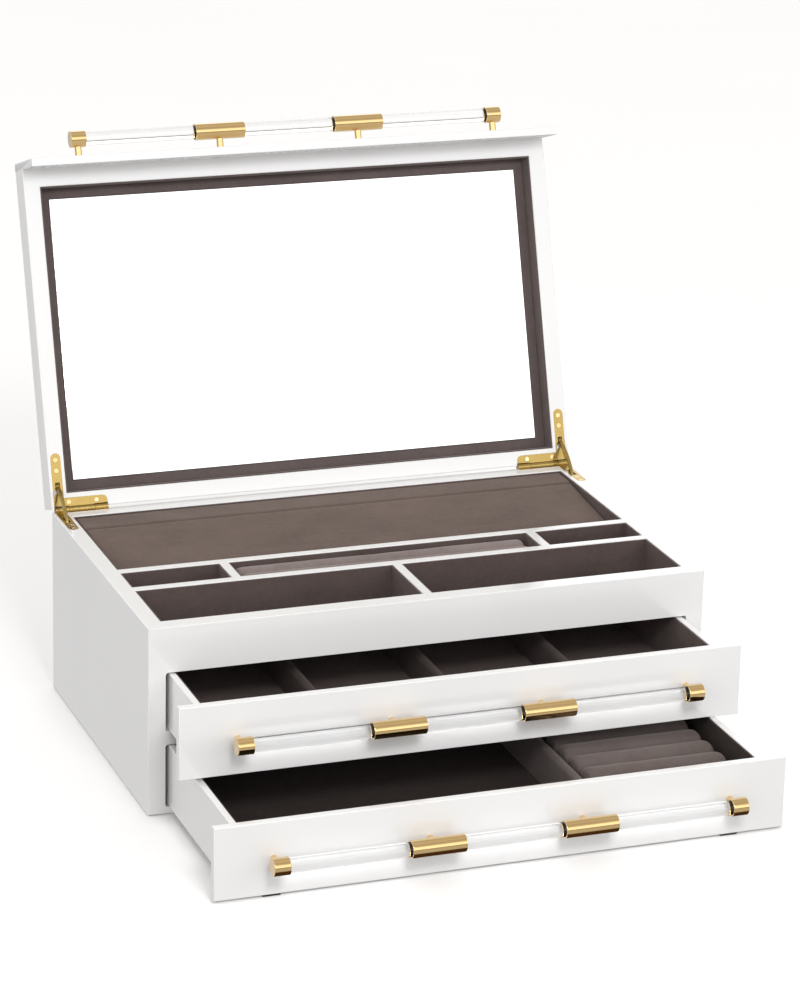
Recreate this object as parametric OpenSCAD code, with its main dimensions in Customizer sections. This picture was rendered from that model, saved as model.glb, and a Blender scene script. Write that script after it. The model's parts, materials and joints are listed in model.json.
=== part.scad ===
// Jewellery chest: a lift-up lid with a mirror over a divided tray, above two drawers.
// X runs across the width, Y towards the back and Z up from the surface it stands on.
// The origin is the centre of the case's footprint. The lid stands open and both drawers
// are partly out.

/* [Case] */
// Width of the case
case_w = 400; // [380:1:420]
// Depth of the case
case_d = 242; // [236:1:260]
// Height of the rim above the table
rim_z = 134; // [133:0.5:140]
// Thickness of the case walls
wall_t = 12; // [12:0.5:13]
// Thickness of the felt sheet under the case
felt_t = 0.8; // [0.5:0.1:1.5]
// Height of the lower drawer's bay
lower_bay_h = 45; // [44:0.5:46]
// Height of the rail between the bays
mid_rail_h = 9.5; // [9:0.5:11]
// Height of the upper drawer's bay
upper_bay_h = 41.7; // [41:0.1:43]
// Radius of the bay corners
bay_r = 2; // [1:0.5:3]

/* [Tray] */
// Thickness of the white tray dividers
divider_t = 6.5; // [5:0.5:8]
// Where the rear long divider stands
rear_divider_y = -9.1; // [-14:0.1:-4]
// Where the front long divider stands
front_divider_y = -45.2; // [-50:0.1:-40]
// Distance of the short dividers from the middle
short_divider_x = 114; // [100:1:130]
// Thickness of the suede lining
lining_t = 1.2; // [0.8:0.1:2]
// How far the lining stops below the rim
lining_drop = 0.6; // [0.3:0.1:1.5]
// Depth of the ledge behind the flap
ledge_d = 24; // [20:0.5:30]
// Slope of the closed flap
flap_slope = 6.2; // [4:0.1:8]
// Thickness of the flap
flap_t = 3.6; // [3:0.1:5]
// Pitch of the tray's ring rolls
tray_roll_pitch = 13.5; // [12:0.1:13.5]
// Length of the tray's ring rolls
tray_roll_len = 214; // [180:1:218]

/* [Lid] */
// Thickness of the closed lid
lid_t = 20.8; // [18:0.1:24]
// How far the lid stands open
lid_open = 108; // [95:1:110]
// Depth of the mirror recess
recess_d = 12; // [8:0.5:13]
// Thickness of the mirror
mirror_t = 3; // [2:0.5:4]
// Width of the suede border round the mirror
border_w = 8.2; // [5:0.1:12]

/* [Fronts] */
// Thickness of the fronts and the fascia
front_t = 6; // [5:0.5:8]
// Width of the fronts
front_w = 398; // [370:1:400]
// Gap between neighbouring fronts
reveal = 1.1; // [0.8:0.1:2]
// Gap under the lower front
base_gap = 1.4; // [1.2:0.1:2]

/* [Drawers] */
// How far the upper drawer is out
upper_out = 60; // [1:1:160]
// How far the lower drawer is out
lower_out = 136; // [1:1:160]
// How far the drawers come out before they meet their stops
drawer_travel = 170; // [165:1:175]
// Length of the drawer boxes
box_l = 222; // [200:1:222]
// Thickness of the box sides
box_t = 4.5; // [3:0.5:6]
// Gap between a box and the case on each side
box_gap = 2.5; // [1:0.1:4]
// Thickness of the covered drawer dividers
pad_divider_t = 6.6; // [5:0.1:9]
// How far the upper drawer's dividers stop below the box top
upper_divider_drop = 14.5; // [10:0.5:20]
// How far the lower drawer's divider stops below the box top
lower_divider_drop = 12; // [10:0.5:20]
// Where the lower drawer's divider stands
lower_divider_x = 66.5; // [40:0.5:90]
// Pitch of the lower drawer's ring rolls
roll_pitch = 20.3; // [18:0.1:21]
// Height of the lower drawer's ring rolls
roll_h = 32.3; // [24:0.1:34]

/* [Handles] */
// Overall length of a handle
handle_l = 329; // [300:1:360]
// Radius of the clear rod
rod_r = 5; // [4:0.1:6]
// Radius of the end caps and sleeves
sleeve_r = 6; // [5.5:0.1:7]
// Distance from the rod's centre to the board
standoff = 13.3; // [11:0.1:16]
// Length of an end cap
cap_l = 11; // [8:0.5:14]
// Length of a sleeve
sleeve_l = 37; // [30:1:44]
// Distance of the sleeves from the middle
sleeve_x = 53; // [45:1:60]
// Radius of a post
post_r = 2.4; // [2:0.1:3]

/* [Hinges] */
// How far the hinge axis lies behind the case
hinge_out = 1; // [0.8:0.1:1.5]
// How far the hinge axis lies above the rim
hinge_up = 0.7; // [0.6:0.1:1]
// Radius of the knuckles
knuckle_r = 2.6; // [2.2:0.1:3]
// Radius of the hinge pin
pin_r = 1.2; // [1:0.1:1.5]
// Width of the side arms
leaf_w = 7.5; // [6:0.5:9]
// Length of the side arms from the axis
leaf_l = 41; // [38:1:45]
// Thickness of the leaves
leaf_t = 1.5; // [1:0.1:2]
// Distance of the stay's pivot from the axis
stay_u = 17; // [16:0.5:18]
// Length of the stay
stay_l = 35; // [33:0.5:36]

/* [Hidden] */
$fn = 48;
eps = 0.1;

lacquer = "whitesmoke";
suede = "#5d5049";
brass = "goldenrod";
felt = "#2b2929";
glass = "lightcyan";

// Case, measured from its centre
half_w = case_w / 2;
half_d = case_d / 2;
in_x = half_w - wall_t;
in_y = half_d - wall_t;
bay_x = in_x;
bottom_z = felt_t + 4.8;
lower_bay_top = bottom_z + lower_bay_h;
upper_bay_z = lower_bay_top + mid_rail_h;
upper_bay_top = upper_bay_z + upper_bay_h;
shelf_t = 6;
floor_t = 4.2;
floor_z = upper_bay_top + floor_t;
case_h = rim_z - felt_t;
lined_z = floor_z + lining_t;
lining_top = rim_z - lining_drop;

// Lid, in its closed place
lid_gap = 0.2;
lid_z = rim_z + lid_gap;
lid_top = lid_z + lid_t;
lid_front_y = -half_d - 0.8;
recess_front_y = -in_y;
recess_back_y = half_d - 11;
mirror_z = lid_z + recess_d;
panel_z = mirror_z + mirror_t;
border_z = mirror_z + 0.8;
mirror_x = in_x - border_w;
mirror_front_y = recess_front_y + border_w;
mirror_back_y = recess_back_y - border_w;

// Fronts: three equal bands up the face
band_h = (lid_top - base_gap - 2 * reveal) / 3;
lower_front_z = base_gap;
upper_front_z = lower_front_z + band_h + reveal;
fascia_z = upper_front_z + band_h + reveal;

// Drawer boxes
box_x = bay_x - box_gap;
box_in_x = box_x - box_t;
box_float = 0.3;
upper_box_z = upper_bay_z + box_float;
upper_box_h = upper_bay_h - 1.3;
lower_box_z = bottom_z + box_float;
lower_box_h = lower_bay_h - 1;
box_bottom_t = 3;
back_in = box_l - box_t;

// Hinge axis, and the stay's geometry as angles seen from the right-hand end
hinge_y = half_d + hinge_out;
hinge_z = rim_z + hinge_up;
leaf_x = half_w - wall_t / 2 + 0.2;
knuckle_x0 = 158.5;
knuckle_x1 = 197.5;
knuckle_end = 10;
knuckle_gap = 0.2;
swing_clear = 0.3;
rear_arm_in = 8.6;
case_arm_in = 4;
stay_v = 1.2;
stay_t = 2.2;
stay_w = 3;
stay_bulge = 3.6;
stay_eye_r = 2.3;
stay_pin_r = 0.9;
slot_w = 3.2;
fit_gap = 0.05;
guide_angle = -5;
pivot_radius = norm([stay_u, stay_v]);
pivot_angle = atan2(stay_v, stay_u);
stay_dir = 270 - (pivot_angle + lid_open + guide_angle) / 2;
pivot_y = hinge_y - pivot_radius * cos(pivot_angle + lid_open);
pivot_z = hinge_z + pivot_radius * sin(pivot_angle + lid_open);

// Screws
hinge_head_r = 1.9;
hinge_shank_r = 1;
hinge_screw_l = 9;
handle_head_r = 3;
handle_head_t = 2;
handle_shank_r = 1.5;
handle_thread_l = 5;

// ---- Helpers ----

// A block from its lowest to its highest corner
module block(low, high) {
  translate(low) cube(high - low);
}

// Children drawn in the Y-Z plane, made into a bar of this length centred on X = 0
module along_x(length) {
  rotate([90, 0, 90]) linear_extrude(length, center = true) children();
}

// Children on the left and, mirrored, on the right
module both_sides() {
  children();
  mirror([1, 0, 0]) children();
}

// Turns the closed lid to its open place
module opened() {
  translate([0, hinge_y, hinge_z])
    rotate([-lid_open, 0, 0])
      translate([0, -hinge_y, -hinge_z])
        children();
}

// A rectangle with round corners, from its lowest to its highest corner
module round_rect(low, high, r) {
  translate([low.x + r, low.y]) square([high.x - low.x - 2 * r, high.y - low.y]);
  translate([low.x, low.y + r]) square([high.x - low.x, high.y - low.y - 2 * r]);
  for (x = [low.x + r, high.x - r], y = [low.y + r, high.y - r])
    translate([x, y]) circle(r);
}

// An open-topped lining inside a bin
module bin_lining(low, high) {
  difference() {
    block(low, high);
    block(low + [lining_t, lining_t, lining_t], high + [-lining_t, -lining_t, eps]);
  }
}

// ---- Hinges ----

// The cylinder round the hinge axis between two places along X
module axis_rod(x0, x1, r) {
  translate([x0, hinge_y, hinge_z]) rotate([0, 90, 0]) cylinder(h = x1 - x0, r = r);
}

// Room for the whole barrel of the right-hand hinge
module barrel_room() {
  axis_rod(knuckle_x0 - knuckle_gap, knuckle_x1 + knuckle_gap, knuckle_r + swing_clear);
}

// Where the lid's knuckle sits between the case's two
lid_knuckle_x0 = knuckle_x0 + knuckle_end + knuckle_gap;
lid_knuckle_x1 = knuckle_x1 - knuckle_end - knuckle_gap;

// Flat outline of a leaf: a side arm and a rear arm along the barrel, with round ends
module leaf_outline(arm_in) {
  r = arm_in > 5 ? 3.6 : 0.8;
  translate([leaf_x - leaf_w / 2, hinge_y - leaf_l + leaf_w / 2])
    square([leaf_w, leaf_l - leaf_w / 2]);
  translate([leaf_x, hinge_y - leaf_l + leaf_w / 2]) circle(leaf_w / 2);
  translate([knuckle_x0 + r, hinge_y - arm_in]) square([knuckle_x1 - knuckle_x0 - r, arm_in]);
  translate([knuckle_x0, hinge_y - arm_in + r]) square([2 * r, arm_in - r]);
  translate([knuckle_x0 + r, hinge_y - arm_in + r]) circle(r);
}

// The pocket that a leaf is let into, down from z1
module leaf_pocket(arm_in, z1) {
  translate([0, 0, z1 - leaf_t]) linear_extrude(leaf_t) leaf_outline(arm_in);
}

side_screw_ys = [hinge_y - 36.2, hinge_y - 28.5];
case_screw_ys = [hinge_y - 37.4, hinge_y - 30.4];
rear_screw_xs = [166.5, 187];
rear_screw_y = hinge_y - 5.6;

// Room for the stay in the lid: the slot in the leaf and the pocket above it
module lid_slot(depth) {
  block(
    [leaf_x - slot_w / 2, hinge_y - 19.8, lid_z - eps],
    [leaf_x + slot_w / 2, hinge_y - 13.6, lid_z + depth]
  );
}

// The pointed notch in the lid's side arm
module notch() {
  translate([leaf_x, hinge_y, lid_z - eps])
    linear_extrude(leaf_t + 2 * eps)
      polygon([[0, -20.4], [3.2, -12.6], [3.2, -9.6], [0, -13.8], [-3.2, -9.6], [-3.2, -12.6]]);
}

// Lid's leaf, right-hand, in the closed place
module lid_leaf() {
  difference() {
    union() {
      difference() {
        translate([0, 0, lid_z]) linear_extrude(leaf_t) leaf_outline(rear_arm_in);
        barrel_room();
      }
      axis_rod(lid_knuckle_x0, lid_knuckle_x1, knuckle_r);
      block(
        [lid_knuckle_x0, hinge_y - knuckle_r - swing_clear - 0.2, lid_z],
        [lid_knuckle_x1, hinge_y - pin_r - 1, lid_z + leaf_t]
      );
    }
    axis_rod(lid_knuckle_x0 - eps, lid_knuckle_x1 + eps, pin_r + fit_gap);
    lid_slot(leaf_t + eps);
    notch();
    for (y = side_screw_ys) translate([leaf_x, y, lid_z - eps])
      cylinder(h = leaf_t + 2 * eps, r = hinge_head_r);
    for (x = rear_screw_xs) translate([x, rear_screw_y, lid_z - eps])
      cylinder(h = leaf_t + 2 * eps, r = hinge_head_r);
  }
  // The pivot that the stay turns on, let into the lid's pocket
  translate([leaf_x - slot_w / 2, hinge_y - stay_u, hinge_z + stay_v])
    rotate([0, 90, 0])
      cylinder(h = slot_w, r = stay_pin_r);
}

// Case's leaf, right-hand
module case_leaf() {
  difference() {
    union() {
      difference() {
        leaf_pocket(case_arm_in, rim_z);
        barrel_room();
      }
      for (x = [knuckle_x0, knuckle_x1 - knuckle_end]) {
        axis_rod(x, x + knuckle_end, knuckle_r);
        block(
          [x, hinge_y - knuckle_r - swing_clear - 0.2, rim_z - leaf_t],
          [x + knuckle_end, hinge_y - pin_r - 0.5, rim_z]
        );
      }
    }
    axis_rod(knuckle_x0 - eps, knuckle_x1 + eps, pin_r);
    stay_slot(leaf_t + eps, 14, 25.5);
    for (y = case_screw_ys)
      translate([leaf_x, y, rim_z - leaf_t - eps]) cylinder(h = leaf_t + 2 * eps, r = hinge_head_r);
  }
}

// Room for the stay below the rim, between two distances in front of the axis
module stay_slot(depth, u0, u1) {
  block(
    [leaf_x - slot_w / 2, hinge_y - u1, rim_z - depth],
    [leaf_x + slot_w / 2, hinge_y - u0, rim_z + eps]
  );
}

// Outline of the stay: the pivot's eye at the origin, an arm bowed towards -Y, and a hooked end
module stay_outline() {
  bow_r = (pow(stay_l / 2, 2) + pow(stay_bulge, 2)) / (2 * stay_bulge);
  difference() {
    union() {
      intersection() {
        translate([stay_l / 2, bow_r - stay_bulge]) difference() {
          circle(bow_r + stay_w / 2, $fn = 96);
          circle(bow_r - stay_w / 2, $fn = 96);
        }
        translate([0, -stay_bulge - stay_w]) square([stay_l, stay_bulge + 2 * stay_w]);
      }
      circle(stay_eye_r);
      translate([stay_l, 0]) circle(stay_w / 2 + 0.4);
    }
    circle(stay_pin_r + fit_gap);
  }
}

// The stay, right-hand, as it stands with the lid open
module stay() {
  translate([leaf_x, 0, 0])
    along_x(stay_t)
      translate([pivot_y, pivot_z])
        rotate(stay_dir)
          stay_outline();
}

// A countersunk hinge screw pointing up, its head's face at the origin
module hinge_screw() {
  cylinder(h = leaf_t, r = hinge_head_r);
  translate([0, 0, leaf_t]) cylinder(h = hinge_screw_l - leaf_t, r = hinge_shank_r);
}

// Where the lid's screws sit, and their holes
module at_lid_screws() {
  for (y = side_screw_ys) translate([leaf_x, y, lid_z]) children();
  for (x = rear_screw_xs) translate([x, rear_screw_y, lid_z]) children();
}

module at_case_screws() {
  for (y = case_screw_ys) translate([leaf_x, y, rim_z]) mirror([0, 0, 1]) children();
}

// ---- Case ----

// The right-hand side, let out for the hinge leaf, the barrel and the stay
module side_panel() {
  difference() {
    block([in_x, -in_y, felt_t], [half_w, half_d, rim_z]);
    translate([0, 0, eps]) leaf_pocket(case_arm_in, rim_z);
    leaf_pocket(case_arm_in, rim_z);
    barrel_room();
    stay_slot(40, 11, 30);
    at_case_screws() translate([0, 0, -eps]) hinge_screw();
    at_case_screws() hinge_screw();
  }
}

module left_side_panel() {
  color(lacquer) mirror([1, 0, 0]) side_panel();
}

module right_side_panel() {
  color(lacquer) side_panel();
}

module back_panel() {
  color(lacquer) difference() {
    block([-in_x, in_y, felt_t], [in_x, half_d, rim_z]);
    both_sides() {
      leaf_pocket(case_arm_in, rim_z);
      translate([0, 0, eps]) leaf_pocket(case_arm_in, rim_z);
      barrel_room();
    }
  }
}

// The face of the case, with one routed bay for each drawer
module front_frame() {
  color(lacquer) translate([0, -in_y, 0]) rotate([90, 0, 0]) linear_extrude(wall_t) difference() {
    translate([-half_w, felt_t]) square([case_w, case_h]);
    round_rect([-bay_x, bottom_z], [bay_x, lower_bay_top], bay_r);
    round_rect([-bay_x, upper_bay_z], [bay_x, upper_bay_top], bay_r);
  }
}

module bottom_panel() {
  color(lacquer) block([-in_x, -in_y, felt_t], [in_x, in_y, bottom_z]);
}

module base_felt() {
  inset = 3;
  color(felt) block([inset - half_w, inset - half_d, 0], [half_w - inset, half_d - inset, felt_t]);
}

module drawer_shelf() {
  color(lacquer) block([-in_x, -in_y, upper_bay_z - shelf_t], [in_x, in_y, upper_bay_z]);
}

module tray_floor() {
  color(lacquer) block([-in_x, -in_y, upper_bay_top], [in_x, in_y, floor_z]);
}

// Edges of the dividers
rear_div = [rear_divider_y - divider_t / 2, rear_divider_y + divider_t / 2];
front_div = [front_divider_y - divider_t / 2, front_divider_y + divider_t / 2];
short_div = [short_divider_x - divider_t / 2, short_divider_x + divider_t / 2];

module tray_dividers() {
  color(lacquer) {
    block([-in_x, rear_div[0], floor_z], [in_x, rear_div[1], rim_z]);
    block([-in_x, front_div[0], floor_z], [in_x, front_div[1], rim_z]);
    both_sides() block([short_div[0], front_div[1], floor_z], [short_div[1], rear_div[0], rim_z]);
    block([-divider_t / 2, -in_y, floor_z], [divider_t / 2, front_div[0], rim_z]);
  }
}

module lining_rear_well() {
  color(suede) bin_lining([-in_x, rear_div[1], floor_z], [in_x, in_y, lining_top]);
}

module lining_middle_bins() {
  color(suede) {
    both_sides() bin_lining([short_div[1], front_div[1], floor_z], [in_x, rear_div[0], lining_top]);
    bin_lining([-short_div[0], front_div[1], floor_z], [short_div[0], rear_div[0], lining_top]);
  }
}

module lining_front_bins() {
  color(suede) both_sides() bin_lining([divider_t / 2, -in_y, floor_z], [in_x, front_div[0], lining_top]);
}

// The covered ledge along the back of the rear well
ledge_y = in_y - ledge_d;
ledge_top = rim_z - 1.2;
ledge_h = 14;

module flap_ledge() {
  end_gap = 0.4;
  x = in_x - lining_t - end_gap;
  color(suede) block([-x, ledge_y, ledge_top - ledge_h], [x, in_y - lining_t, ledge_top]);
}

// The flap turns on the fabric across this groove
groove = 0.9;
flap_y = ledge_y - groove;
flap_l = flap_y - rear_div[1] - lining_t - 0.7;
flap_x = in_x - lining_t - 0.6;

// Children drawn in the flap's own section, with its hinge line at the origin
module flap_section(length) {
  translate([0, flap_y, ledge_top]) along_x(length) rotate(180 + flap_slope) children();
}

module rear_flap() {
  corner = 1.2;
  color(suede) flap_section(2 * flap_x) {
    translate([0, 0]) square([flap_l - corner, flap_t]);
    translate([flap_l - corner, corner]) square([corner, flap_t - 2 * corner]);
    translate([flap_l - corner, corner]) circle(corner);
    translate([flap_l - corner, flap_t - corner]) circle(corner);
  }
}

// The batten on the rear divider that the flap's front edge lies on
module flap_rest() {
  rest_d = 8;
  rest_h = 6;
  rest_gap = 0.15;
  color(suede) intersection() {
    flap_section(2 * flap_x) translate([flap_l - rest_d, flap_t + rest_gap]) square([rest_d + 4, rest_h]);
    block([-in_x, rear_div[1] + lining_t, floor_z], [in_x, in_y, rim_z]);
  }
}

// The end of one soft roll standing on Y = 0: straight sides and a round top
module roll_end(pitch, h, valley) {
  r = (pow(pitch / 2, 2) + pow(valley, 2)) / (2 * valley);
  square([pitch, h - valley]);
  intersection() {
    translate([pitch / 2, h - r]) circle(r, $fn = 96);
    translate([0, h - valley - eps]) square([pitch, valley + 2 * eps]);
  }
}

// Two soft rolls side by side, with their tops just under the rim
module tray_ring_rolls() {
  middle_y = (front_div[1] + rear_div[0]) / 2;
  top_z = rim_z - 2;
  x_shift = -1.5;
  color(suede) translate([x_shift, 0, 0]) along_x(tray_roll_len) for (side = [-1, 0])
    translate([middle_y + side * tray_roll_pitch, lined_z])
      roll_end(tray_roll_pitch, top_z - lined_z, 3);
}

// Blocks that the boxes' back boards meet when the drawers are fully out
stop_y = back_in - half_d - lining_t - drawer_travel;

module drawer_stops() {
  stop_x = 15;
  stop_d = 8;
  overlap = 3;
  color("burlywood") {
    block([-stop_x, stop_y - stop_d, upper_box_z + upper_box_h - overlap], [stop_x, stop_y, upper_bay_top]);
    block(
      [-stop_x, stop_y - stop_d, lower_box_z + lower_box_h - overlap],
      [stop_x, stop_y, upper_bay_z - shelf_t]
    );
  }
}

module case_hinge_leaf_left() {
  color(brass) mirror([1, 0, 0]) case_leaf();
}

module case_hinge_leaf_right() {
  color(brass) case_leaf();
}

module hinge_pins() {
  color(brass) both_sides() axis_rod(knuckle_x0, knuckle_x1, pin_r);
}

module case_hinge_screws() {
  color(brass) both_sides() at_case_screws() hinge_screw();
}

// ---- Lid ----

// Four rails round the mirror recess
module lid_frame() {
  color(lacquer) opened() difference() {
    block([-half_w, lid_front_y, lid_z], [half_w, half_d, panel_z]);
    block([-in_x, recess_front_y, lid_z - eps], [in_x, recess_back_y, panel_z + eps]);
    both_sides() {
      barrel_room();
      translate([0, 0, lid_z - eps]) linear_extrude(leaf_t + eps) leaf_outline(rear_arm_in);
      lid_slot(6);
      at_lid_screws() hinge_screw();
    }
  }
}

module lid_panel() {
  color(lacquer) opened() block([-half_w, lid_front_y, panel_z], [half_w, half_d, lid_top]);
}

module lid_fascia() {
  color(lacquer) opened() difference() {
    block([-half_w, lid_front_y - front_t, fascia_z], [half_w, lid_front_y, lid_top]);
    at_lid_handle() front_holes();
  }
}

module lid_mirror() {
  color(glass) opened()
    block([-mirror_x, mirror_front_y, mirror_z], [mirror_x, mirror_back_y, panel_z]);
}

lid_lining_t = 1;

module mirror_border() {
  color(suede) opened() difference() {
    block(
      [lid_lining_t - in_x, recess_front_y + lid_lining_t, border_z],
      [in_x - lid_lining_t, recess_back_y - lid_lining_t, panel_z]
    );
    block([-mirror_x, mirror_front_y, border_z - eps], [mirror_x, mirror_back_y, panel_z + eps]);
  }
}

module lid_lining() {
  color(suede) opened() difference() {
    block([-in_x, recess_front_y, lid_z + lining_drop], [in_x, recess_back_y, panel_z]);
    block(
      [lid_lining_t - in_x, recess_front_y + lid_lining_t, lid_z - eps],
      [in_x - lid_lining_t, recess_back_y - lid_lining_t, panel_z + eps]
    );
  }
}

module lid_hinge_leaf_left() {
  color(brass) opened() mirror([1, 0, 0]) lid_leaf();
}

module lid_hinge_leaf_right() {
  color(brass) opened() lid_leaf();
}

module lid_hinge_screws() {
  color(brass) opened() both_sides() at_lid_screws() hinge_screw();
}

module stay_left() {
  color(brass) mirror([1, 0, 0]) stay();
}

module stay_right() {
  color(brass) stay();
}

// ---- Handles: the origin is on the board's face, and -Y points away from the board ----

post_xs = [handle_l / 2 - cap_l / 2, sleeve_x];

// A round bar along the handle
module handle_bar(length, r) {
  translate([0, -standoff, 0]) rotate([0, 90, 0]) cylinder(h = length, r = r, center = true);
}

cap_end = 2;

module handle_rod() {
  handle_bar(handle_l - 2 * cap_end, rod_r);
}

module handle_caps() {
  difference() {
    both_sides() translate([handle_l / 2 - cap_l / 2, 0, 0]) handle_bar(cap_l, sleeve_r);
    handle_bar(handle_l - 2 * cap_end, rod_r);
  }
}

module handle_sleeves() {
  both_sides() translate([sleeve_x, 0, 0]) difference() {
    handle_bar(sleeve_l, sleeve_r);
    handle_bar(sleeve_l + 2 * eps, rod_r);
  }
}

module handle_posts() {
  both_sides() for (x = post_xs) translate([x, 0, 0]) difference() {
    rotate([90, 0, 0]) cylinder(h = standoff, r = post_r);
    handle_bar(4 * post_r, sleeve_r);
    translate([0, eps, 0]) rotate([90, 0, 0]) cylinder(h = handle_thread_l + eps, r = handle_shank_r);
  }
}

// A screw through the board, with its head in the board's back
module handle_screw(extra) {
  translate([0, front_t - handle_head_t, 0]) rotate([90, 0, 0])
    cylinder(h = front_t - handle_head_t + handle_thread_l, r = handle_shank_r);
  translate([0, front_t + extra, 0]) rotate([90, 0, 0])
    cylinder(h = handle_head_t + extra, r = handle_head_r);
}

module handle_screws() {
  both_sides() for (x = post_xs) translate([x, 0, 0]) handle_screw(0);
}

module front_holes() {
  both_sides() for (x = post_xs) translate([x, 0, 0]) handle_screw(eps);
}

// Where the three handles go
module at_lid_handle() {
  translate([0, lid_front_y - front_t, fascia_z + band_h / 2]) children();
}

module at_upper_handle() {
  translate([0, -half_d - front_t - upper_out, upper_front_z + band_h / 2]) children();
}

module at_lower_handle() {
  translate([0, -half_d - front_t - lower_out, lower_front_z + band_h / 2]) children();
}

module lid_handle_rod() {
  color(glass) opened() at_lid_handle() handle_rod();
}

module lid_handle_caps() {
  color(brass) opened() at_lid_handle() handle_caps();
}

module lid_handle_sleeves() {
  color(brass) opened() at_lid_handle() handle_sleeves();
}

module lid_handle_posts() {
  color(brass) opened() at_lid_handle() handle_posts();
}

module lid_handle_screws() {
  color(brass) opened() at_lid_handle() handle_screws();
}

// ---- Drawers: a front board, and a box behind it whose front edges are at Y = -half_d ----

module front_board() {
  difference() {
    translate([-front_w / 2, 0, -band_h / 2]) cube([front_w, front_t, band_h]);
    front_holes();
  }
}

module box_walls(z, h) {
  both_sides() block([box_in_x, -half_d, z], [box_x, box_l - half_d, z + h]);
  block([-box_in_x, back_in - half_d, z], [box_in_x, box_l - half_d, z + h]);
}

module box_bottom(z) {
  block([-box_in_x, -half_d, z], [box_in_x, back_in - half_d, z + box_bottom_t]);
}

module box_lining(z, h) {
  bin_lining([-box_in_x, -half_d, z + box_bottom_t], [box_in_x, back_in - half_d, z + h - lining_drop]);
}

// A covered divider with a round top, from the front lining to the back one
module pad_divider(x, z, top) {
  r = pad_divider_t / 2;
  translate([x, back_in - half_d - lining_t, 0]) rotate([90, 0, 0])
    linear_extrude(back_in - 2 * lining_t) {
      translate([-r, z]) square([2 * r, top - r - z]);
      translate([0, top - r]) circle(r);
    }
}

module upper_front() {
  color(lacquer) at_upper_handle() front_board();
}

module upper_box_walls() {
  color(suede) translate([0, -upper_out, 0]) box_walls(upper_box_z, upper_box_h);
}

module upper_box_bottom() {
  color(suede) translate([0, -upper_out, 0]) box_bottom(upper_box_z);
}

module upper_lining() {
  color(suede) translate([0, -upper_out, 0]) box_lining(upper_box_z, upper_box_h);
}

upper_divider_x = (box_in_x - lining_t + pad_divider_t / 2) / 2 - 0.5;

module upper_dividers() {
  z = upper_box_z + box_bottom_t + lining_t;
  top = upper_box_z + upper_box_h - upper_divider_drop;
  color(suede) translate([0, -upper_out, 0])
    for (x = [-upper_divider_x, 0, upper_divider_x]) pad_divider(x, z, top);
}

module upper_handle_rod() {
  color(glass) at_upper_handle() handle_rod();
}

module upper_handle_caps() {
  color(brass) at_upper_handle() handle_caps();
}

module upper_handle_sleeves() {
  color(brass) at_upper_handle() handle_sleeves();
}

module upper_handle_posts() {
  color(brass) at_upper_handle() handle_posts();
}

module upper_handle_screws() {
  color(brass) at_upper_handle() handle_screws();
}

module lower_front() {
  color(lacquer) at_lower_handle() front_board();
}

module lower_box_walls() {
  color(suede) translate([0, -lower_out, 0]) box_walls(lower_box_z, lower_box_h);
}

module lower_box_bottom() {
  color(suede) translate([0, -lower_out, 0]) box_bottom(lower_box_z);
}

module lower_lining() {
  color(suede) translate([0, -lower_out, 0]) box_lining(lower_box_z, lower_box_h);
}

module lower_divider() {
  z = lower_box_z + box_bottom_t + lining_t;
  top = lower_box_z + lower_box_h - lower_divider_drop;
  color(suede) translate([0, -lower_out, 0]) pad_divider(lower_divider_x, z, top);
}

// A row of soft rolls that fills the bin on the right of the divider
module lower_ring_rolls() {
  z = lower_box_z + box_bottom_t + lining_t;
  first_y = lining_t + 3.3 - half_d;
  room = back_in - 2 * lining_t - 3.3;
  count = floor(room / roll_pitch);
  x0 = lower_divider_x + pad_divider_t / 2 + 1.2;
  x1 = box_in_x - lining_t - 6.6;
  color(suede) translate([(x0 + x1) / 2, first_y - lower_out, z]) along_x(x1 - x0)
    for (i = [0:count - 1]) translate([i * roll_pitch, 0]) roll_end(roll_pitch, roll_h, 3.5);
}

// Two glides under the lower front's bottom edge
module lower_glide_pads() {
  pad_x = 160;
  pad_w = 12;
  pad_z = 0.3;
  color(felt) translate([0, -half_d - front_t - lower_out, 0]) both_sides()
    block([pad_x - pad_w / 2, 0.5, pad_z], [pad_x + pad_w / 2, front_t - 0.5, lower_front_z]);
}

module lower_handle_rod() {
  color(glass) at_lower_handle() handle_rod();
}

module lower_handle_caps() {
  color(brass) at_lower_handle() handle_caps();
}

module lower_handle_sleeves() {
  color(brass) at_lower_handle() handle_sleeves();
}

module lower_handle_posts() {
  color(brass) at_lower_handle() handle_posts();
}

module lower_handle_screws() {
  color(brass) at_lower_handle() handle_screws();
}

// ---- Nodes ----

left_side_panel();
right_side_panel();
back_panel();
front_frame();
bottom_panel();
base_felt();
drawer_shelf();
tray_floor();
tray_dividers();
lining_rear_well();
lining_middle_bins();
lining_front_bins();
flap_ledge();
flap_rest();
tray_ring_rolls();
drawer_stops();
case_hinge_leaf_left();
case_hinge_leaf_right();
hinge_pins();
case_hinge_screws();
rear_flap();
lid_frame();
lid_panel();
lid_fascia();
lid_mirror();
mirror_border();
lid_lining();
lid_hinge_leaf_left();
lid_hinge_leaf_right();
lid_hinge_screws();
stay_left();
stay_right();
lid_handle_rod();
lid_handle_caps();
lid_handle_sleeves();
lid_handle_posts();
lid_handle_screws();
upper_front();
upper_box_walls();
upper_box_bottom();
upper_lining();
upper_dividers();
upper_handle_rod();
upper_handle_caps();
upper_handle_sleeves();
upper_handle_posts();
upper_handle_screws();
lower_front();
lower_box_walls();
lower_box_bottom();
lower_lining();
lower_divider();
lower_ring_rolls();
lower_glide_pads();
lower_handle_rod();
lower_handle_caps();
lower_handle_sleeves();
lower_handle_posts();
lower_handle_screws();
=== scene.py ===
import bpy
import bmesh
import json
import math
from mathutils import Matrix, Vector, noise


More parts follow.
